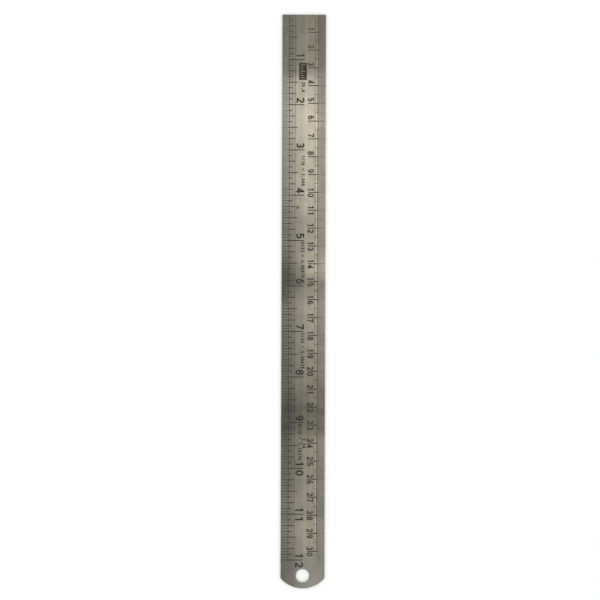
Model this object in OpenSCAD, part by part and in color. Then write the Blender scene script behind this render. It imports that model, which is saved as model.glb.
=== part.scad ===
// Steel rule, 12 inch and 30 centimetre, with black enamel graduations on a stainless strip.
// It lies flat: X runs from the zero end to the hang hole, the inch edge is at -Y,
// the metric edge is at +Y, and the graduated face looks along +Z.
// The origin is the middle of the rule's outline, on its back face.

/* [Blade] */
// Length from the square zero end to the tip of the round end
blade_length = 320.5; // [318:0.5:340]
// Width between the two graduated edges
blade_width = 24.5; // [24:0.5:30]
// Thickness of the steel strip
blade_thickness = 0.9; // [0.7:0.1:2]
// Bevel that takes the sharpness off every edge
edge_bevel = 0.1; // [0.05:0.05:0.2]
// Radius of the two corners at the zero end
corner_radius = 0.6; // [0.2:0.1:2]
// How far the curved end stands beyond its two shoulders
end_bulge = 5.7; // [4:0.1:8]

/* [Hang hole] */
// Diameter of the hang hole
hole_diameter = 7.5; // [3:0.5:8]
// Distance from the middle of the hang hole to the tip
hole_to_tip = 7; // [6:0.5:8]

/* [Enamel] */
// Thickness of the enamel printed on the graduated face
enamel_height = 0.04; // [0.02:0.01:0.08]
// Depth of the etched table on the back, filled flush with enamel
etch_depth = 0.08; // [0.04:0.01:0.15]
// Clear steel between the edge and the first end of every mark
edge_margin = 0.25; // [0.2:0.05:0.5]
// Width of the ruling line nearest each edge
heavy_line = 0.26; // [0.1:0.01:0.3]
// Width of the other ruling lines
fine_line = 0.13; // [0.05:0.01:0.2]

/* [Inch scale] */
// Number of inches
inch_count = 12; // [6:1:12]
// Number of inches divided into thirty-seconds, from zero
fine_inches = 4; // [1:1:6]
// Distances of the three ruling lines from the inch edge
inch_line_1 = 4.2; // [4:0.1:4.6]
inch_line_2 = 5.8; // [5.2:0.05:6]
inch_line_3 = 7.4; // [6.6:0.1:7.4]
// Reach of the half inch marks from the edge
half_reach = 8.9; // [8:0.1:10]
// Reach of the inch marks from the edge
inch_reach = 12.5; // [11:0.1:12.7]
// Reach of the thirty-second marks from the edge
fine_inch_reach = 3.2; // [2:0.1:3.8]
// Width of the inch marks
inch_mark = 0.48; // [0.2:0.01:0.5]
// Width of the half, quarter and eighth inch marks
inch_part_mark = 0.44; // [0.15:0.01:0.45]
// Width of the sixteenth marks
sixteenth_mark = 0.25; // [0.1:0.01:0.3]
// Width of the thirty-second marks
fine_inch_mark = 0.2; // [0.1:0.01:0.25]

/* [Metric scale] */
// Number of centimetres
cm_count = 30; // [15:1:30]
// Number of centimetres divided into half millimetres, from zero
fine_cms = 10; // [1:1:15]
// Distances of the two ruling lines from the metric edge
metric_line_1 = 4.5; // [4.2:0.05:4.7]
metric_line_2 = 6; // [5.6:0.05:6.2]
// Reach of the centimetre marks from the edge
cm_reach = 9.8; // [8:0.1:10]
// Reach of the half millimetre marks from the edge
fine_mm_reach = 3.1; // [2:0.1:3.8]
// Width of the centimetre marks
cm_mark = 0.5; // [0.2:0.01:0.5]
// Width of the five millimetre marks
five_mm_mark = 0.28; // [0.15:0.01:0.3]
// Width of the millimetre marks
mm_mark = 0.14; // [0.1:0.01:0.2]
// Width of the half millimetre marks
fine_mm_mark = 0.12; // [0.08:0.01:0.16]

/* [Figures] */
// Height, width and stroke of the inch figures
inch_fig_h = 4.5; // [3.6:0.1:4.8]
inch_fig_w = 3.05; // [2.4:0.05:3.2]
inch_fig_stroke = 0.85; // [0.4:0.05:0.85]
// Distance of the foot of the inch figures from the inch edge
inch_fig_foot = 8.1; // [7.8:0.1:8.4]
// Height, width and stroke of the centimetre figures
cm_fig_h = 3.45; // [3:0.05:3.5]
cm_fig_w = 2.15; // [1.5:0.05:2.3]
cm_fig_stroke = 0.65; // [0.25:0.01:0.65]
// Distance of the head of the centimetre figures from the metric edge
cm_fig_head = 6.6; // [6.2:0.1:6.8]

/* [Hidden] */

inch = 25.4;
half_width = blade_width / 2;
// The round end is an arc through both shoulders and the tip
end_radius = (half_width * half_width + end_bulge * end_bulge) / (2 * end_bulge);
end_centre = blade_length - end_radius;
hole_x = blade_length - hole_to_tip;
spare = 1;

steel_colour = "#a8a294";
enamel_colour = "#1d1a17";

// ---- Figures: strokes of even width that follow lines and arcs ----

function unit(v) = v / norm(v);
function across(v) = [-v.y, v.x];

// Points of an ellipse arc about [cx, cy] from angle a0 to a1
function bow(cx, cy, rx, ry, a0, a1, steps) =
    [for (i = [0:steps]) let (a = a0 + (a1 - a0) * i / steps) [cx + rx * cos(a), cy + ry * sin(a)]];

// Sideways step at point i that gives a path an even width of 2 * half
function aside(p, i, half) =
    let (
        last = len(p) - 1,
        before = unit(i > 0 ? p[i] - p[i - 1] : p[1] - p[0]),
        after = unit(i < last ? p[i + 1] - p[i] : p[last] - p[last - 1]),
        middle = unit(before + after)
    ) across(middle) * half / (middle * before);

// Outline of a stroke: along one side of the path and back along the other
function stroke_outline(p, width) = concat(
    [for (i = [0:len(p) - 1]) p[i] + aside(p, i, width / 2)],
    [for (i = [len(p) - 1:-1:0]) p[i] - aside(p, i, width / 2)]);

// Open strokes of a character in a cell w wide and h high, as centre lines
function strokes(c, w, h, t, n) =
    let (m = w / 2, a = (w - t) / 2, lo = t / 2, hi = h - t / 2, rise = h - t, mid = h / 2)
    c == "1" ? [[[m + 0.35 * a, 0], [m + 0.35 * a, h]],
                [[m - 0.6 * a, 0.74 * h], [m + 0.35 * a, 0.92 * h]]] :
    c == "2" ? [concat(bow(m, hi - 0.28 * rise, a, 0.28 * rise, 165, -25, n), [[m - 0.8 * a, lo]]),
                [[m - a, lo], [w, lo]]] :
    c == "3" ? [concat(bow(m, hi - rise / 4, 0.92 * a, rise / 4, 155, -90, n), [[m - 0.3 * a, mid]]),
                bow(m, lo + rise / 4, a, rise / 4, 90, -155, n)] :
    c == "4" ? [[[m + 0.45 * a, 0], [m + 0.45 * a, h]],
                [[0, 0.27 * h], [w, 0.27 * h]],
                [[0.45 * t, 0.27 * h], [m + 0.45 * a, h - 0.45 * t]]] :
    c == "5" ? [[[m - 0.8 * a - t / 2, hi], [m + 0.85 * a, hi]],
                [[m - 0.8 * a, hi], [m - 0.86 * a, lo + 0.46 * rise]],
                bow(m, lo + 0.31 * rise, a, 0.31 * rise, 148, -155, n)] :
    c == "6" ? [concat(bow(m + 0.1 * a, lo + 0.3 * rise, 1.1 * a, 0.7 * rise, 62, 180, n),
                    bow(m, lo + 0.3 * rise, a, 0.3 * rise, 210, 270, 2), [[m + 0.25 * a, lo]]),
                bow(m, lo + 0.3 * rise, a, 0.3 * rise, -90, 160, n + 2)] :
    c == "7" ? [[[0, hi], [w, hi]],
                [[w - 0.6 * t, hi], [m - 0.35 * a, 0.2 * t]]] :
    c == "/" ? [[[m - 0.8 * a, 0], [m + 0.8 * a, h]]] :
    c == "=" ? [[[m - a, 0.36 * h], [m + a, 0.36 * h]],
                [[m - a, 0.64 * h], [m + a, 0.64 * h]]] :
    c == "." ? [[[m - 0.65 * t, 0.65 * t], [m + 0.65 * t, 0.65 * t]]] :
    [];

// Closed loops of a character: centre and radii of each
function loops(c, w, h, t) =
    let (m = w / 2, a = (w - t) / 2, lo = t / 2, hi = h - t / 2, rise = h - t)
    c == "0" ? [[m, h / 2, a, rise / 2]] :
    c == "8" ? [[m, lo + 0.265 * rise, a, 0.265 * rise], [m, hi - 0.235 * rise, 0.88 * a, 0.235 * rise]] :
    [];

// A loop's oval, grown all round by a distance
module oval(loop, grow, n) {
    polygon(bow(loop[0], loop[1], loop[2] + grow, loop[3] + grow, 0, 360 - 180 / n, 2 * n - 1));
}

// One character in its cell, its foot on the X axis
module character(c, w, h, t, n) {
    if (c == "9") {
        translate([w, h]) rotate(180) character("6", w, h, t, n);
    } else if (c != " ") {
        for (path = strokes(c, w, h, t, n)) {
            polygon(stroke_outline(path, c == "." ? 1.3 * t : t));
        }
        for (loop = loops(c, w, h, t)) {
            difference() {
                oval(loop, t / 2, n);
                oval(loop, -t / 2, n);
            }
        }
    }
}

// A line of characters of even pitch, starting at the origin
module line_of(characters, w, h, t, pitch, n) {
    for (i = [0:len(characters) - 1]) {
        translate([i * pitch, 0]) character(characters[i], w, h, t, n);
    }
}

// ---- Scales ----

// Places of count marks of one pitch, leaving out each that a coarser mark takes
function places(pitch, count, skip) = [for (i = [1:count]) if (i % skip != 0) i * pitch];

// Bars across the edge zone at each place, from reach r0 to r1 off the inch edge
module inch_bars(at, width, r0, r1) {
    for (x = at) {
        translate([x - width / 2, r0 - half_width]) square([width, r1 - r0]);
    }
}

// The same, measured off the metric edge
module metric_bars(at, width, r0, r1) {
    mirror([0, 1]) inch_bars(at, width, r0, r1);
}

// Stretches between the edge margin and a reach that the ruling lines leave free
function free_stretches(lines, widths, reach) =
    let (
        starts = concat([edge_margin], [for (i = [0:len(lines) - 1]) lines[i] + widths[i] / 2]),
        ends = concat([for (i = [0:len(lines) - 1]) lines[i] - widths[i] / 2], [reach])
    ) [for (i = [0:len(starts) - 1]) if (starts[i] < reach) [starts[i], min(ends[i], reach)]];

inch_lines = [inch_line_1, inch_line_2, inch_line_3];
inch_line_widths = [heavy_line, fine_line, fine_line];
metric_lines = [metric_line_1, metric_line_2];
metric_line_widths = [heavy_line, fine_line];

inch_places = places(inch, inch_count, inch_count + 1);
half_places = places(inch / 2, inch_count * 2, 2);
quarter_places = places(inch / 4, inch_count * 4, 2);
eighth_places = places(inch / 8, inch_count * 8, 2);
sixteenth_places = places(inch / 16, inch_count * 16, 2);
thirty_second_places = places(inch / 32, fine_inches * 32, 2);
cm_places = places(10, cm_count, cm_count + 1);
five_mm_places = places(5, cm_count * 2, 2);
mm_places = places(1, cm_count * 10, 5);
half_mm_places = places(0.5, fine_cms * 20, 2);

// Marks of one class in the pieces that the ruling lines cut them into
module split_inch_marks(at, width, reach) {
    for (s = free_stretches(inch_lines, inch_line_widths, reach)) inch_bars(at, width, s[0], s[1]);
}

module split_metric_marks(at, width, reach) {
    for (s = free_stretches(metric_lines, metric_line_widths, reach)) metric_bars(at, width, s[0], s[1]);
}

module long_line(distance, width, to) {
    translate([edge_margin, distance - width / 2 - half_width]) square([to - edge_margin, width]);
}

module inch_line_shapes() {
    for (i = [0:2]) long_line(inch_lines[i], inch_line_widths[i], inch_count * inch + inch_mark / 2);
}

module metric_line_shapes() {
    mirror([0, 1]) {
        for (i = [0:1]) long_line(metric_lines[i], metric_line_widths[i], cm_count * 10 + cm_mark / 2);
    }
}

// Gap between a mark and the figures beside it, for one and for two figures
inch_fig_gap = 1.05;
cm_fig_gap = 0.95;
cm_pair_gap = 0.6;
fig_steps = 10;

// A number at a mark: one figure stands before the mark, two stand on either side of it
module number_at(value, x, foot, w, h, t, gap, pair_gap) {
    digits = str(value);
    if (len(digits) == 1) {
        translate([x - gap - w, foot]) character(digits[0], w, h, t, fig_steps);
    } else {
        translate([x - pair_gap - w, foot]) character(digits[0], w, h, t, fig_steps);
        translate([x + pair_gap, foot]) character(digits[1], w, h, t, fig_steps);
    }
}

module inch_figure_shapes() {
    for (i = [1:inch_count]) {
        number_at(i, i * inch, inch_fig_foot - half_width, inch_fig_w, inch_fig_h, inch_fig_stroke,
            inch_fig_gap, inch_fig_gap);
    }
}

module cm_figure_shapes() {
    for (i = [1:cm_count]) {
        number_at(i, i * 10, half_width - cm_fig_head - cm_fig_h, cm_fig_w, cm_fig_h, cm_fig_stroke,
            cm_fig_gap, cm_pair_gap);
    }
}

// ---- Small notes and badge on the front ----

note_h = 2;
note_w = 1.2;
note_stroke = 0.42;
note_pitch = 1.45;
note_steps = 4;
// Start of each note in inches, distance of its foot from the inch edge, and the note
notes = [
    [1.5, 10.9, "25.4"],
    [3.12, 10.9, "1/16 = 1.588"],
    [5.03, 10.9, "5/32 = 3.96875"],
    [7.03, 10.9, "7/32 = 5.55625"],
    [9.03, 9.5, "9/32 = 7.14375"],
    [9.34, 12, "2.54"]];

module note_shapes() {
    for (note = notes) {
        translate([note[0] * inch, note[1] - half_width]) {
            line_of(note[2], note_w, note_h, note_stroke, note_pitch, note_steps);
        }
    }
}

badge_x = 1.07 * inch;
badge_w = 9.6;
badge_h = 4.3;
badge_foot = 9.5 - half_width;
badge_bars = 7;
badge_bar_w = 0.34;

// A plain dark block with a row of clear bars, every third one tall
module badge_shape() {
    translate([badge_x, badge_foot]) {
        difference() {
            square([badge_w, badge_h]);
            for (i = [1:badge_bars]) {
                translate([i * badge_w / (badge_bars + 1) - badge_bar_w / 2, 0.9]) {
                    square([badge_bar_w, i % 3 == 1 ? 2.4 : 1.4]);
                }
            }
        }
    }
}

// ---- Conversion table on the back ----

table_cells = 16;
table_start = 8;
table_pitch = 17.8;
table_row = 4.2;
table_line = 0.12;
table_end = table_start + table_cells * table_pitch;
table_fig_h = 2.1;
table_fig_w = 1.25;
table_fig_stroke = 0.26;
table_fig_pitch = 1.8;
table_fig_steps = 5;

// Greatest common divisor, to write a fraction in its lowest terms
function common(a, b) = b == 0 ? a : common(b, a % b);
function fraction(i) =
    let (d = common(i, table_cells)) d == table_cells ? "1" : str(i / d, "/", table_cells / d);
// Millimetres of i sixteenths of an inch, to two places, with a half rounded up
function millimetres(i) = str(round(i * inch * 100 / table_cells + 0.001) / 100);

module centred_line(characters, x, foot) {
    length = (len(characters) - 1) * table_fig_pitch + table_fig_w;
    translate([x - length / 2, foot]) {
        line_of(characters, table_fig_w, table_fig_h, table_fig_stroke, table_fig_pitch, table_fig_steps);
    }
}

module table_line_shapes() {
    for (row = [-1:1]) {
        translate([table_start - table_line / 2, row * table_row - table_line / 2]) {
            square([table_end - table_start + table_line, table_line]);
        }
    }
    for (cell = [0:table_cells], row = [-1:0]) {
        translate([table_start + cell * table_pitch - table_line / 2, row * table_row + table_line / 2]) {
            square([table_line, table_row - table_line]);
        }
    }
}

module table_figure_shapes() {
    for (i = [1:table_cells]) {
        middle = table_start + (i - 0.5) * table_pitch;
        centred_line(fraction(i), middle, (table_row - table_fig_h) / 2);
        centred_line(millimetres(i), middle, (-table_row - table_fig_h) / 2);
    }
}

// ---- Solids ----

// Puts the origin in the middle of the length
module in_place() {
    translate([-blade_length / 2, 0, 0]) children();
}

// Enamel printed on the graduated face
module front_enamel() {
    color(enamel_colour) in_place() {
        translate([0, 0, blade_thickness]) linear_extrude(enamel_height) children();
    }
}

// Enamel flush in the back face, drawn to be read with the rule turned over its long side
module back_enamel() {
    color(enamel_colour) in_place() {
        linear_extrude(etch_depth) mirror([0, 1]) children();
    }
}

// Section with a bevel on each corner, centred on [0, 0]
module bevelled_section(w, h) {
    b = edge_bevel;
    polygon([[b - w / 2, -h / 2], [w / 2 - b, -h / 2], [w / 2, b - h / 2], [w / 2, h / 2 - b],
        [w / 2 - b, h / 2], [b - w / 2, h / 2], [-w / 2, h / 2 - b], [-w / 2, b - h / 2]]);
}

// Strip bevelled along its two long edges
module long_bar() {
    translate([0, 0, blade_thickness / 2]) rotate([90, 0, 90]) {
        linear_extrude(blade_length + spare) bevelled_section(blade_width, blade_thickness);
    }
}

// Bar bevelled along the zero end, as far as the middle of the end arc
module end_bar() {
    b = edge_bevel;
    translate([0, half_width + spare, 0]) rotate([90, 0, 0]) {
        linear_extrude(blade_width + 2 * spare) {
            polygon([[b, 0], [end_centre, 0], [end_centre, blade_thickness], [b, blade_thickness],
                [0, blade_thickness - b], [0, b]]);
        }
    }
}

// Disc that gives the round end, bevelled round its rim
module end_disc() {
    b = edge_bevel;
    translate([end_centre, 0, 0]) rotate_extrude($fn = 180) {
        polygon([[0, 0], [end_radius - b, 0], [end_radius, b], [end_radius, blade_thickness - b],
            [end_radius - b, blade_thickness], [0, blade_thickness]]);
    }
}

// Cutter for one rounded corner at the zero end
module corner_cutter() {
    translate([0, 0, -spare]) linear_extrude(blade_thickness + 2 * spare) {
        difference() {
            translate([-spare, -spare]) square(corner_radius + spare);
            translate([corner_radius, corner_radius]) circle(corner_radius, $fn = 48);
        }
    }
}

// Hang hole with a bevel at each face
module hole_cutter() {
    r = hole_diameter / 2;
    b = edge_bevel;
    translate([hole_x, 0, 0]) {
        translate([0, 0, -spare]) cylinder(r = r, h = blade_thickness + 2 * spare, $fn = 96);
        translate([0, 0, -b]) cylinder(r1 = r + 2 * b, r2 = r, h = 2 * b, $fn = 96);
        translate([0, 0, blade_thickness - b]) cylinder(r1 = r, r2 = r + 2 * b, h = 2 * b, $fn = 96);
    }
}

module blank() {
    difference() {
        intersection() {
            long_bar();
            union() {
                end_bar();
                end_disc();
            }
        }
        for (side = [-1, 1]) {
            scale([1, side, 1]) translate([0, -half_width, 0]) corner_cutter();
        }
        hole_cutter();
    }
}

module blade() {
    color(steel_colour) in_place() difference() {
        blank();
        translate([0, 0, -etch_depth]) linear_extrude(2 * etch_depth) mirror([0, 1]) {
            table_line_shapes();
            table_figure_shapes();
        }
    }
}

module inch_ruling_lines() front_enamel() inch_line_shapes();
module inch_marks() front_enamel() split_inch_marks(inch_places, inch_mark, inch_reach);
module half_inch_marks() front_enamel() split_inch_marks(half_places, inch_part_mark, half_reach);
module quarter_inch_marks() front_enamel() split_inch_marks(quarter_places, inch_part_mark, inch_line_3);
module eighth_inch_marks() front_enamel() split_inch_marks(eighth_places, inch_part_mark, inch_line_2);
module sixteenth_inch_marks() front_enamel() split_inch_marks(sixteenth_places, sixteenth_mark, inch_line_1);
module thirty_second_inch_marks() {
    front_enamel() split_inch_marks(thirty_second_places, fine_inch_mark, fine_inch_reach);
}
module inch_figures() front_enamel() inch_figure_shapes();
module metric_ruling_lines() front_enamel() metric_line_shapes();
module centimetre_marks() front_enamel() split_metric_marks(cm_places, cm_mark, cm_reach);
module five_millimetre_marks() front_enamel() split_metric_marks(five_mm_places, five_mm_mark, metric_line_2);
module millimetre_marks() front_enamel() split_metric_marks(mm_places, mm_mark, metric_line_1);
module half_millimetre_marks() front_enamel() split_metric_marks(half_mm_places, fine_mm_mark, fine_mm_reach);
module centimetre_figures() front_enamel() cm_figure_shapes();
module conversion_notes() front_enamel() note_shapes();
module plain_badge() front_enamel() badge_shape();
module back_table_lines() back_enamel() table_line_shapes();
module back_table_figures() back_enamel() table_figure_shapes();

blade();
inch_ruling_lines();
inch_marks();
half_inch_marks();
quarter_inch_marks();
eighth_inch_marks();
sixteenth_inch_marks();
thirty_second_inch_marks();
inch_figures();
metric_ruling_lines();
centimetre_marks();
five_millimetre_marks();
millimetre_marks();
half_millimetre_marks();
centimetre_figures();
conversion_notes();
plain_badge();
back_table_lines();
back_table_figures();
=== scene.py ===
"""A worn 12 inch and 30 centimetre steel rule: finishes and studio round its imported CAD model.

Lengths are in metres, in the model's own frame: X runs from the zero end to the hang hole, the inch
edge is at -Y, the metric edge is at +Y, and the graduated face looks along +Z.
"""

import math

import bpy
from bpy.props import FloatProperty, FloatVectorProperty, PointerProperty
from mathutils import Matrix, Vector


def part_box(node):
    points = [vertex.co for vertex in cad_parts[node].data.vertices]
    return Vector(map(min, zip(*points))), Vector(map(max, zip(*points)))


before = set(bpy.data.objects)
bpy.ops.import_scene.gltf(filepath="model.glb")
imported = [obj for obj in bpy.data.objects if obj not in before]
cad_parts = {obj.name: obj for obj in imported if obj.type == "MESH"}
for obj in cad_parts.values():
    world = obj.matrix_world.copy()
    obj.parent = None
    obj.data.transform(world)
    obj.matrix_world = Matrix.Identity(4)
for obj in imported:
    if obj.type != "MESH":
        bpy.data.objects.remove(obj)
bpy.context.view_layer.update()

bl_info = {
    "name": "Steel Rule",
    "version": (1, 0, 0),
    "blender": (4, 5, 0),
    "location": "View3D > Sidebar > Rule",
    "description": "Finishes a steel rule in brushed stainless and black enamel, and lights it",
    "category": "Material",
}

MM = 0.001
INCH = 25.4 * MM

# The blade's own box gives every place on the rule
blade_low, blade_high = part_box("blade")
zero_end = blade_low.x
half_width = blade_high.y
rule_width = 2 * half_width
rule_length = blade_high.x - blade_low.x
face_height = blade_high.z

INCH_SCALE = (
    "inch_ruling_lines", "inch_marks", "half_inch_marks", "quarter_inch_marks",
    "eighth_inch_marks", "sixteenth_inch_marks", "thirty_second_inch_marks", "inch_figures",
)
METRIC_SCALE = (
    "metric_ruling_lines", "centimetre_marks", "five_millimetre_marks", "millimetre_marks",
    "half_millimetre_marks", "centimetre_figures",
)
FRONT_NOTES = ("conversion_notes", "plain_badge")
BACK_TABLE = ("back_table_lines", "back_table_figures")

STEEL_NAME = "rule_steel"
ENAMEL_NAME = "rule_enamel"

# Brightness of the steel along the rule, partly tarnished steel and partly painted reflections and
# shade: share of the length from the zero end, and level
TARNISH_AND_PAINTED_REFLECTION_ALONG = (
    (0.0, 0.42), (0.10, 0.45), (0.12, 0.90), (0.19, 0.93), (0.24, 0.67), (0.32, 0.62), (0.37, 0.49),
    (0.395, 0.50), (0.43, 0.76), (0.47, 0.25), (0.515, 0.76), (0.57, 0.62), (0.65, 0.46), (0.69, 0.13),
    (0.72, 0.19), (0.76, 0.68), (0.80, 0.57), (0.845, 0.76), (0.865, 0.60), (0.89, 0.88), (0.95, 0.58),
    (1.0, 0.70),
)

# Painted light and shade across the rule, darker towards the inch edge: millimetres from the inch edge,
# and level
PAINTED_LIGHT_ACROSS = (
    (0.0, 0.47), (2.0, 0.51), (4.1, 0.54), (4.6, 0.58), (7.4, 0.63), (8.0, 0.66), (8.4, 0.74),
    (9.5, 0.74), (11.5, 0.76), (12.6, 0.86), (13.4, 0.92), (15.0, 0.88), (16.2, 0.89), (16.9, 0.94),
    (17.8, 0.90), (19.8, 0.88), (20.2, 0.69), (22.5, 0.75), (24.5, 0.81),
)

# The same painted light and shade past the scales, where no line or strip shows
PAINTED_LIGHT_ACROSS_END = ((0.0, 0.48), (6.0, 0.58), (12.0, 0.80), (17.0, 0.90), (24.5, 0.74))

# How far painted light leans the brightness to the metric side: share of the length, and lean from 0 to
# 1
PAINTED_LIGHT_LEAN_ALONG = (
    (0.0, 0.32), (0.10, 0.28), (0.14, 0.20), (0.20, 0.34), (0.30, 0.37), (0.35, 0.43), (0.41, 0.52),
    (0.44, 0.95), (0.475, 0.88), (0.52, 0.54), (0.60, 0.56), (0.68, 0.46), (0.74, 0.66), (0.80, 0.56),
    (0.86, 0.34), (0.89, 0.39), (0.94, 0.51), (1.0, 0.54),
)

# Level along the rule and shade of the back, which has no broad tones
BACK_LEVEL = 0.62
BACK_SHADE = 0.8

# Tints that multiply the steel's colour, and colours that cover it
COOL_TINT = (0.95, 1.0, 1.07, 1)
PINK_TINT = (1.12, 0.98, 1.05, 1)
RUBBED_STEEL = (0.60, 0.58, 0.52, 1)
SCRATCHED_STEEL = (0.68, 0.65, 0.57, 1)

# End of the metric scale, and the rust spot's place from the zero end and from the inch edge
SCALE_END = 300 * MM
RUST_FROM_ZERO = 4.27 * INCH
RUST_FROM_EDGE = 8.9 * MM

# Softboxes, which face straight down: name, place and size along X, and radiance
SOFT_BOXES = (
    ("zero_end_box", -0.27, 0.26, 0.98),
    ("middle_box", 0.02, 0.22, 0.27),
    ("hole_end_box", 0.36, 0.16, 0.33),
)
SOFT_BOX_HEIGHT = 1.4
SOFT_BOX_SPAN = 1.2

# Strength of the surround from the sides, and from overhead
SIDE_STRENGTH = 1.26
OVERHEAD_STRENGTH = 0.33

# Camera angles in degrees, and how far off the rule's middle line it looks
CAMERA_TURN = 0.19
CAMERA_LEAN = 1.3
CAMERA_TARGET_Y = -1.87 * MM


# ---- Settings ----


class RuleSteelSettings(bpy.types.PropertyGroup):
    """Colours and wear of the stainless strip."""

    # Bright end of the tones along the rule: clean steel, and painted reflections where bright bands
    # are painted in
    colour: FloatVectorProperty(
        name="Steel", description="Colour of the clean brushed steel",
        subtype="COLOR", size=4, min=0, max=1, default=(0.67, 0.62, 0.50, 1))
    # Dark end of the tones along the rule: tarnished steel, and painted shade where dark reflections
    # are painted in
    tarnish_and_painted_shade: FloatVectorProperty(
        name="Tarnish", description="Colour that the steel turns where it is dull",
        subtype="COLOR", size=4, min=0, max=1, default=(0.185, 0.175, 0.14, 1))
    stain: FloatVectorProperty(
        name="Rust", description="Colour of the rust spot and its specks",
        subtype="COLOR", size=4, min=0, max=1, default=(0.14, 0.05, 0.03, 1))
    grain: FloatProperty(
        name="Grain depth", description="Height of the brushed grain",
        subtype="DISTANCE", unit="LENGTH", min=0, default=0.004 * MM, precision=6)
    anisotropy: FloatProperty(
        name="Anisotropy", description="How much the grain smears reflections across the rule",
        subtype="FACTOR", min=0, max=1, default=0.8)
    mottle: FloatProperty(
        name="Mottle", description="Strength of the cloudy tarnish",
        subtype="FACTOR", min=0, max=1, default=0.6)


class RuleEnamelSettings(bpy.types.PropertyGroup):
    """Colours and wear of the enamel in the marks."""

    colour: FloatVectorProperty(
        name="Enamel", description="Colour of sound enamel",
        subtype="COLOR", size=4, min=0, max=1, default=(0.014, 0.012, 0.009, 1))
    worn: FloatVectorProperty(
        name="Worn enamel", description="Colour where the enamel is rubbed thin",
        subtype="COLOR", size=4, min=0, max=1, default=(0.25, 0.225, 0.18, 1))
    roughness: FloatProperty(
        name="Roughness", description="Roughness of sound enamel",
        subtype="FACTOR", min=0, max=1, default=0.5)


class RuleStudioSettings(bpy.types.PropertyGroup):
    """Floor and camera."""

    floor: FloatVectorProperty(
        name="Floor", description="Colour of the floor",
        subtype="COLOR", size=4, min=0, max=1, default=(0.94, 0.94, 0.94, 1))
    camera_height: FloatProperty(
        name="Camera height", description="Distance from the graduated face to the camera",
        subtype="DISTANCE", unit="LENGTH", min=0.3, default=0.7)
    field: FloatProperty(
        name="Field", description="Width that the camera sees at the graduated face",
        subtype="DISTANCE", unit="LENGTH", min=0.1, default=0.335)


# ---- Node trees ----


class Graph:
    """A node tree, with one short call for each kind of node that the finishes use."""

    def __init__(self, tree):
        self.tree = tree
        self.tree.nodes.clear()

    def node(self, kind, inputs=None, **settings):
        """A node with its settings and its inputs, each a value or another node's socket."""
        made = self.tree.nodes.new(kind)
        for name, value in settings.items():
            setattr(made, name, value)
        for key, value in (inputs or {}).items():
            if isinstance(value, bpy.types.NodeSocket):
                self.tree.links.new(value, made.inputs[key])
            else:
                made.inputs[key].default_value = value
        return made

    def math(self, operation, *values, clamp=False):
        """One operation on one or two values."""
        return self.node("ShaderNodeMath", dict(enumerate(values)), operation=operation,
                         use_clamp=clamp).outputs[0]

    def add(self, first, *others):
        """The sum of all the values."""
        for value in others:
            first = self.math("ADD", first, value)
        return first

    def times(self, first, *others):
        """The product of all the values."""
        for value in others:
            first = self.math("MULTIPLY", first, value)
        return first

    def most(self, first, *others):
        """The largest of all the values."""
        for value in others:
            first = self.math("MAXIMUM", first, value)
        return first

    def swing(self, noise, size):
        """Noise from 0 to 1 made into a swing about zero, size wide."""
        return self.times(self.math("SUBTRACT", noise, 0.5), size)

    def stretch(self, vector, scale, turn=0.0):
        """vector turned about Z by turn degrees and stretched by scale."""
        inputs = {"Vector": vector, "Scale": scale, "Rotation": (0, 0, math.radians(turn))}
        return self.node("ShaderNodeMapping", inputs).outputs[0]

    def noise(self, vector, scale=1.0, detail=2.0, roughness=0.5, distortion=0.0):
        """Noise from 0 to 1."""
        inputs = {"Vector": vector, "Scale": scale, "Detail": detail, "Roughness": roughness,
                  "Distortion": distortion}
        return self.node("ShaderNodeTexNoise", inputs).outputs["Fac"]

    def remap(self, value, low, high, to_low=0.0, to_high=1.0, smooth=False):
        """value taken from the range low to high into the range to_low to to_high, and clamped."""
        inputs = {"Value": value, "From Min": low, "From Max": high, "To Min": to_low,
                  "To Max": to_high}
        kind = "SMOOTHSTEP" if smooth else "LINEAR"
        return self.node("ShaderNodeMapRange", inputs, interpolation_type=kind).outputs[0]

    def mix(self, factor, first, second, blend="MIX"):
        """Two colours mixed."""
        inputs = {0: factor, 6: first, 7: second}
        return self.node("ShaderNodeMix", inputs, data_type="RGBA", blend_type=blend).outputs[2]

    def tint(self, factor, colour, tint):
        """colour multiplied by tint, as far as factor says."""
        return self.mix(factor, colour, self.mix(1.0, colour, tint, "MULTIPLY"))

    def choose(self, switch, on, off):
        """on where switch is 1, off where it is 0."""
        inputs = {"Factor": switch, "A": off, "B": on}
        return self.node("ShaderNodeMix", inputs, data_type="FLOAT").outputs[0]

    def ramp(self, value, stops):
        """Grey ramp through the (place, brightness) stops."""
        made = self.node("ShaderNodeValToRGB", {"Fac": value})
        made.color_ramp.interpolation = "LINEAR"
        points = made.color_ramp.elements
        while len(points) < len(stops):
            points.new(0.5)
        for point, (place, level) in zip(points, sorted(stops)):
            point.position = place
            point.color = (level, level, level, 1)
        return made.outputs["Color"]

    def bump(self, height, distance, strength):
        """The normal of a surface with this relief."""
        inputs = {"Height": height, "Distance": distance, "Strength": strength}
        return self.node("ShaderNodeBump", inputs).outputs[0]

    def surface(self, **inputs):
        """Ends the tree in a Principled shader. Its inputs are named with _ for each space."""
        named = {name.replace("_", " "): value for name, value in inputs.items()}
        shader = self.node("ShaderNodeBsdfPrincipled", named)
        self.node("ShaderNodeOutputMaterial", {"Surface": shader.outputs[0]})


def new_material(name):
    """A new material and the graph of its empty node tree."""
    made = bpy.data.materials.new(name)
    made.use_nodes = True
    return made, Graph(made.node_tree)


def give(nodes, material):
    """Puts one finish on CAD nodes."""
    for name in nodes:
        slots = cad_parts[name].data.materials
        slots.clear()
        slots.append(material)


def shares_of_width(tones):
    """The stops of tones with each place as a share of the rule's width."""
    return [(place_mm * MM / rule_width, level) for place_mm, level in tones]


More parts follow.
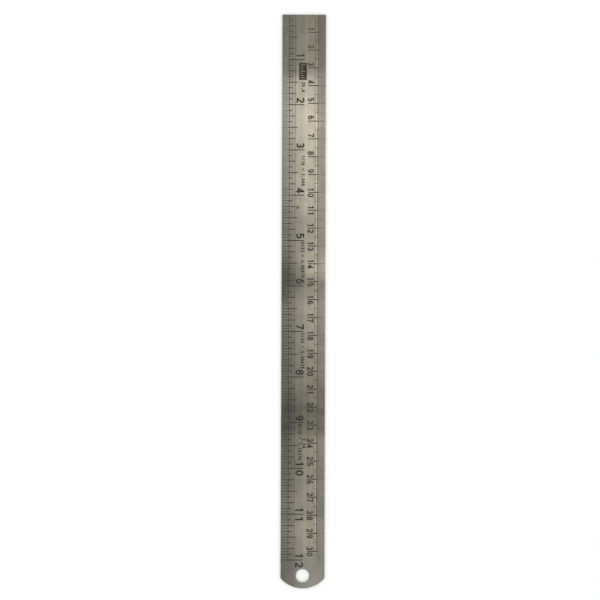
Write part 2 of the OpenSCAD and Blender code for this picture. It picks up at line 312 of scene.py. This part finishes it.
class Places:
    """Places on the rule as sockets of a graph: object coordinates and distances in metres."""

    def __init__(self, g):
        self.object = g.node("ShaderNodeTexCoord").outputs["Object"]
        x, y, z = g.node("ShaderNodeSeparateXYZ", {0: self.object}).outputs
        self.from_zero = g.math("SUBTRACT", x, zero_end)
        self.from_inch_edge = g.add(y, half_width)
        self.from_metric_edge = g.math("SUBTRACT", half_width, y)
        self.from_near_edge = g.math("SUBTRACT", half_width, g.math("ABSOLUTE", y))
        self.on_front = g.math("GREATER_THAN", z, face_height / 2)


# ---- Steel ----


def painted_highlight_line(g, at, cloud):
    """Brightness of a painted highlight: a bright line beside the metric scale's ruling line, as long
    as the scale.
    """
    line = g.remap(at.from_zero, 0, rule_length, 4.9 * MM, 5.3 * MM)
    off_line = g.math("ABSOLUTE", g.math("SUBTRACT", at.from_metric_edge, line))
    bright = g.remap(off_line, 0.34 * MM, 0.10 * MM, 0, 0.7, smooth=True)
    within_scale = g.remap(at.from_zero, SCALE_END + 2 * MM, SCALE_END)
    return g.times(bright, cloud, within_scale)


def rust(g, at):
    """Share of rust: one ragged spot beside the inch scale, and scattered specks."""
    spot_at = (zero_end + RUST_FROM_ZERO, RUST_FROM_EDGE - half_width, face_height)
    away = g.node("ShaderNodeVectorMath", {0: at.object, 1: spot_at}, operation="DISTANCE")
    ragged = g.times(g.noise(at.object, scale=900, detail=4), 1.1 * MM)
    spot = g.remap(g.add(away.outputs["Value"], ragged), 1.8 * MM, 1.0 * MM, 0, 0.7)
    specks = g.remap(g.noise(at.object, scale=750, detail=3), 0.74, 0.80, 0, 0.6)
    return g.most(spot, specks)


def steel_material(settings):
    """Stainless steel brushed lengthwise.

    Noise stretched along X makes the grain and the streaks, and round noise makes the cloudy
    tarnished patches. One ramp along X and one across Y, both shaken by noise, give its broad tones:
    along it partly tarnished steel and partly painted reflections and shade, across it painted light
    and shade.
    """
    made, g = new_material(STEEL_NAME)
    at = Places(g)

    grain = g.noise(g.stretch(at.object, (130, 9000, 9000)))
    streaks = g.noise(g.stretch(at.object, (16, 1300, 3100)), detail=4, roughness=0.6)
    scratches = g.most(
        g.remap(g.noise(g.stretch(at.object, (45, 5200, 3000), turn=3)), 0.70, 0.76),
        g.remap(g.noise(g.stretch(at.object, (60, 4300, 3000), turn=-8)), 0.72, 0.78))
    # Stretched along Z, so that the clouds of the two faces differ
    apart = g.stretch(at.object, (1, 1, 60))
    cloud = g.noise(apart, scale=170, detail=6, roughness=0.6, distortion=0.4)
    broad = g.noise(apart, scale=45, detail=3)
    rusted = rust(g, at)

    # Broad tones along the rule, from tarnished to clean steel: partly real and partly painted
    # reflections and shade
    share = g.remap(g.add(at.from_zero, g.swing(broad, 26 * MM)), 0, rule_length)
    along = g.choose(at.on_front, g.ramp(share, TARNISH_AND_PAINTED_REFLECTION_ALONG), BACK_LEVEL)
    along = g.math("ADD", along, g.swing(cloud, settings.mottle), clamp=True)
    colour = g.mix(along, settings.tarnish_and_painted_shade[:], settings.colour[:])

    # Broad tones across it: painted light and shade, darker towards the inch edge, and painted light
    # leaning to one long edge
    swayed = g.add(at.from_inch_edge, g.swing(broad, 0.8 * MM))
    share_across = g.math("DIVIDE", swayed, rule_width)
    past_scales = g.remap(at.from_zero, SCALE_END, SCALE_END + 8 * MM)
    across = g.choose(past_scales, g.ramp(share_across, shares_of_width(PAINTED_LIGHT_ACROSS_END)),
                      g.ramp(share_across, shares_of_width(PAINTED_LIGHT_ACROSS)))
    side = g.remap(swayed, 0, rule_width, -1, 1)
    # Painted light: one long edge brighter and the other darker, as far as the lean says
    lean = g.swing(g.ramp(share, PAINTED_LIGHT_LEAN_ALONG), side)
    lines = g.swing(streaks, 0.35)
    shade = g.times(across, g.add(lines, lean, 1.0))

    # Darker beside both long edges in the first inch, and beside the inch edge in the first five inches
    darker_by_edges_near_zero = g.times(g.remap(at.from_zero, 1.4 * INCH, 1.1 * INCH),
                      g.remap(at.from_near_edge, 7 * MM, 3 * MM, 0, 0.08))
    darker_by_inch_edge = g.times(g.remap(at.from_zero, 6 * INCH, 4.5 * INCH),
                      g.remap(at.from_inch_edge, 3 * MM, 1.2 * MM, 0, 0.1))
    shade = g.times(shade, g.math("SUBTRACT", 1.0, darker_by_edges_near_zero), g.math("SUBTRACT", 1.0, darker_by_inch_edge))

    # Painted highlight: a bright line beside the metric scale's ruling line
    shade = g.times(shade, g.add(painted_highlight_line(g, at, cloud), 1.0))
    shade = g.choose(at.on_front, shade, g.add(g.times(lines, 1.4), BACK_SHADE))
    colour = g.mix(1.0, colour, shade, "MULTIPLY")

    # On the graduated face: cooler beside the inch edge and at the hole, and pinker beside the
    # metric edge after the sixth inch
    cool = g.most(g.remap(swayed, 8 * MM, 3 * MM), past_scales)
    pink = g.times(g.remap(swayed, 19.5 * MM, 20.5 * MM),
                   g.remap(at.from_zero, 148 * MM, 160 * MM),
                   g.remap(at.from_zero, 210 * MM, 270 * MM, 1, 0.1))
    colour = g.tint(g.times(cool, at.on_front, 0.8), colour, COOL_TINT)
    colour = g.tint(g.times(pink, at.on_front, cloud), colour, PINK_TINT)

    # Clean where the two long edges have been rubbed, and in the scratches
    rubbed = g.remap(at.from_near_edge, 0.3 * MM, 0.05 * MM, 0, 0.3)
    colour = g.mix(rubbed, colour, RUBBED_STEEL)
    colour = g.mix(g.times(scratches, 0.3), colour, SCRATCHED_STEEL)
    colour = g.mix(rusted, colour, settings.stain[:])

    roughness = g.add(g.remap(along, 0, 1, 0.36, 0.26), g.swing(grain, 0.12), g.times(rusted, 0.35))
    relief = g.math("SUBTRACT", g.add(g.times(grain, 0.6), g.times(streaks, 0.4)),
                    g.times(scratches, 0.5))
    # Reflections smear across the grain, which runs along X
    tangent = g.node("ShaderNodeTangent", direction_type="RADIAL", axis="X").outputs[0]
    g.surface(Base_Color=colour, Metallic=1.0, Roughness=roughness, Tangent=tangent,
              Anisotropic=settings.anisotropy, Normal=g.bump(relief, settings.grain, 0.6))
    return made


# ---- Enamel ----


def enamel_material(settings):
    """Brown-black enamel, rubbed thin in patches, most of all beside the edges and near zero."""
    made, g = new_material(ENAMEL_NAME)
    at = Places(g)
    patches = g.noise(at.object, scale=420, detail=5, roughness=0.65)
    dust = g.noise(at.object, scale=3800, detail=3)

    # How much each place has been rubbed in use
    use = g.most(
        g.times(g.remap(at.from_zero, 4.3 * INCH, 3.8 * INCH),
                g.remap(at.from_inch_edge, 3.9 * MM, 3.2 * MM), 0.95),
        g.remap(at.from_zero, 1.2 * INCH, 0.7 * INCH, 0, 0.25),
        g.remap(at.from_metric_edge, 4.6 * MM, 3.6 * MM, 0, 0.85),
        g.remap(at.from_inch_edge, 3.4 * MM, 2.4 * MM, 0, 0.3))
    worn = g.most(g.remap(patches, 0.56, 0.78, 0, 0.6, smooth=True),
                  g.times(use, g.remap(patches, 0.3, 0.6, 0.5, 1.0)))
    worn = g.math("ADD", worn, g.swing(dust, 0.25), clamp=True)

    colour = g.mix(worn, settings.colour[:], settings.worn[:])
    roughness = g.remap(dust, 0.3, 0.7, settings.roughness - 0.08, settings.roughness + 0.12)
    g.surface(Base_Color=colour, Metallic=0.0, Roughness=roughness, IOR=1.5, Specular_IOR_Level=0.4,
              Normal=g.bump(dust, 0.004 * MM, 0.5))
    return made


def shared_enamel(context):
    """The enamel finish, made once and used by every group of marks."""
    return bpy.data.materials.get(ENAMEL_NAME) or enamel_material(context.scene.rule_enamel)


# ---- Studio ----


def build_floor(colour):
    """A plain matt floor, just under the rule."""
    bpy.ops.mesh.primitive_plane_add(size=12, location=(0, 0, blade_low.z - 0.02 * MM))
    floor = bpy.context.active_object
    floor.name = "studio_floor"
    made, g = new_material("pale_floor")
    g.surface(Base_Color=colour, Roughness=0.9)
    floor.data.materials.append(made)


def build_world():
    """Even studio surround: bright round the sides and darker overhead."""
    world = bpy.data.worlds.new("studio")
    world.use_nodes = True
    bpy.context.scene.world = world
    g = Graph(world.node_tree)
    direction = g.node("ShaderNodeTexCoord").outputs["Generated"]
    up = g.node("ShaderNodeSeparateXYZ", {0: direction}).outputs["Z"]
    level = g.remap(up, 0.75, 0.98, SIDE_STRENGTH, OVERHEAD_STRENGTH, smooth=True)
    background = g.node("ShaderNodeBackground", {"Color": (1, 1, 1, 1), "Strength": level})
    g.node("ShaderNodeOutputWorld", {"Surface": background.outputs[0]})


def soft_box(name, place_x, size_x, radiance):
    """A rectangular softbox above the rule. Its power is radiance times pi times its area."""
    light = bpy.data.lights.new(name, "AREA")
    light.shape = "RECTANGLE"
    light.size = size_x
    light.size_y = SOFT_BOX_SPAN
    light.energy = radiance * math.pi * size_x * SOFT_BOX_SPAN
    box = bpy.data.objects.new(name, light)
    box.location = (place_x, 0, SOFT_BOX_HEIGHT)
    box.visible_camera = False
    bpy.context.scene.collection.objects.link(box)


def build_camera(settings):
    """Looks down at the rule, zero end at the top of the picture and inch edge at its left.

    It stands a little towards the hole end and leans back to the middle of the rule.
    """
    turn = math.radians(CAMERA_TURN)
    lean = math.radians(CAMERA_LEAN)
    data = bpy.data.cameras.new("camera")
    data.sensor_width = 36
    data.lens = data.sensor_width * settings.camera_height / settings.field
    data.clip_start = 0.01
    camera = bpy.data.objects.new("camera", data)
    bpy.context.scene.collection.objects.link(camera)
    back = Vector((math.sin(lean), 0, math.cos(lean)))
    level = Vector((0, 1, 0))
    right = level * math.cos(turn) + back.cross(level) * math.sin(turn)
    up = back.cross(right)
    looks_at = Vector((0, CAMERA_TARGET_Y, face_height))
    axes = Matrix((right, up, back)).transposed().to_4x4()
    camera.matrix_world = Matrix.Translation(looks_at + back * settings.camera_height) @ axes
    bpy.context.scene.camera = camera


# ---- Operators and panel ----


class RULE_OT_finish_blade(bpy.types.Operator):
    """Finishes the strip in brushed stainless steel"""

    bl_idname = "rule.finish_blade"
    bl_label = "Finish Blade"

    def execute(self, context):
        give(["blade"], steel_material(context.scene.rule_steel))
        return {"FINISHED"}


class RULE_OT_fill_inch_scale(bpy.types.Operator):
    """Fills the inch scale's lines, marks and figures with enamel"""

    bl_idname = "rule.fill_inch_scale"
    bl_label = "Fill Inch Scale"

    def execute(self, context):
        give(INCH_SCALE, shared_enamel(context))
        return {"FINISHED"}


class RULE_OT_fill_metric_scale(bpy.types.Operator):
    """Fills the metric scale's lines, marks and figures with enamel"""

    bl_idname = "rule.fill_metric_scale"
    bl_label = "Fill Metric Scale"

    def execute(self, context):
        give(METRIC_SCALE, shared_enamel(context))
        return {"FINISHED"}


class RULE_OT_fill_notes(bpy.types.Operator):
    """Fills the conversion notes and the plain badge with enamel"""

    bl_idname = "rule.fill_notes"
    bl_label = "Fill Notes and Badge"

    def execute(self, context):
        give(FRONT_NOTES, shared_enamel(context))
        return {"FINISHED"}


class RULE_OT_fill_back_table(bpy.types.Operator):
    """Fills the conversion table on the back with enamel"""

    bl_idname = "rule.fill_back_table"
    bl_label = "Fill Back Table"

    def execute(self, context):
        give(BACK_TABLE, shared_enamel(context))
        return {"FINISHED"}


class RULE_OT_build_studio(bpy.types.Operator):
    """Builds the floor, the soft light and the camera"""

    bl_idname = "rule.build_studio"
    bl_label = "Build Studio"

    def execute(self, context):
        settings = context.scene.rule_studio
        build_floor(settings.floor[:])
        build_world()
        for box in SOFT_BOXES:
            soft_box(*box)
        build_camera(settings)
        context.scene.view_settings.view_transform = "Standard"
        return {"FINISHED"}


class RULE_PT_panel(bpy.types.Panel):
    """Lists the steps that finish the rule"""

    bl_idname = "RULE_PT_panel"
    bl_label = "Steel Rule"
    bl_space_type = "VIEW_3D"
    bl_region_type = "UI"
    bl_category = "Rule"

    def draw(self, context):
        layout = self.layout
        scene = context.scene
        for settings in (scene.rule_steel, scene.rule_enamel, scene.rule_studio):
            box = layout.box()
            for name in settings.__annotations__:
                box.prop(settings, name)
        for step in STEPS:
            layout.operator(step.bl_idname)


STEPS = (
    RULE_OT_finish_blade,
    RULE_OT_fill_inch_scale,
    RULE_OT_fill_metric_scale,
    RULE_OT_fill_notes,
    RULE_OT_fill_back_table,
    RULE_OT_build_studio,
)
CLASSES = (RuleSteelSettings, RuleEnamelSettings, RuleStudioSettings, *STEPS, RULE_PT_panel)


def register():
    """Registers every class and puts the settings on the scene."""
    for cls in CLASSES:
        bpy.utils.register_class(cls)
    bpy.types.Scene.rule_steel = PointerProperty(type=RuleSteelSettings)
    bpy.types.Scene.rule_enamel = PointerProperty(type=RuleEnamelSettings)
    bpy.types.Scene.rule_studio = PointerProperty(type=RuleStudioSettings)


def unregister():
    """Takes away what register() added."""
    del bpy.types.Scene.rule_studio
    del bpy.types.Scene.rule_enamel
    del bpy.types.Scene.rule_steel
    for cls in reversed(CLASSES):
        bpy.utils.unregister_class(cls)


def main():
    """Runs every step in order."""
    register()
    for step in STEPS:
        group, name = step.bl_idname.split(".")
        getattr(getattr(bpy.ops, group), name)()


if __name__ == "__main__":
    main()
